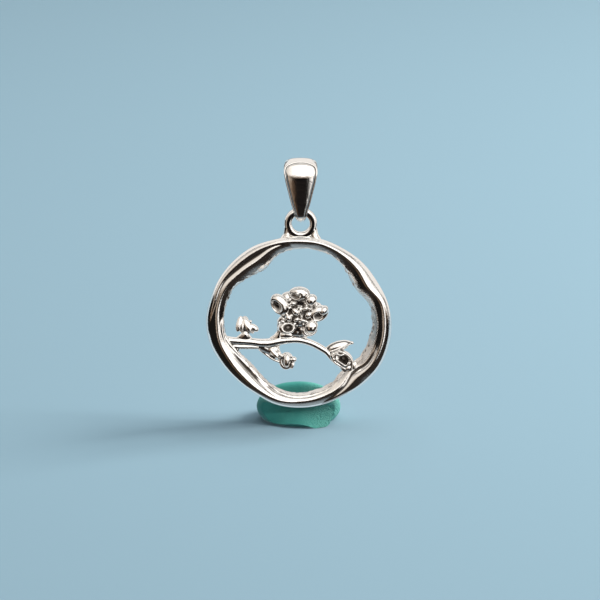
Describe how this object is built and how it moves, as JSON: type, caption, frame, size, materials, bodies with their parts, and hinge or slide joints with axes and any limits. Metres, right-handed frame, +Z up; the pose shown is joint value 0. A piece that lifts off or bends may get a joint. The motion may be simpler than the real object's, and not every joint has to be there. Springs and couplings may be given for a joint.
{
  "type": "flower pendant on putty stand",
  "caption": "Round cast silver pendant with an uneven hoop, a flowering branch across it and a tapered swinging bail, held upright by a lump of putty.",
  "frame": {"origin": "on the surface that the putty rests on, straight below the hoop's centre and in the middle of the hoop's thickness", "axes": "+X across the hoop to the right as seen from the front, +Y from the front to the back, +Z up"},
  "size_m": [0.0225, 0.0084, 0.0333],
  "materials": {
    "silver": "polished cast silver",
    "putty": "soft matt modelling putty"
  },
  "bodies": {
    "pendant": {"blossom_hoop": "silver", "putty_stand": "putty"},
    "bail": {"bail": "silver"}
  },
  "joints": [
    {"name": "bail_swing", "type": "hinge", "parent": "pendant", "child": "bail", "pos_m": [0.0002, 0, 0.02669], "axis": [1, 0, 0], "range_deg": [-105, 105]}
  ]
}
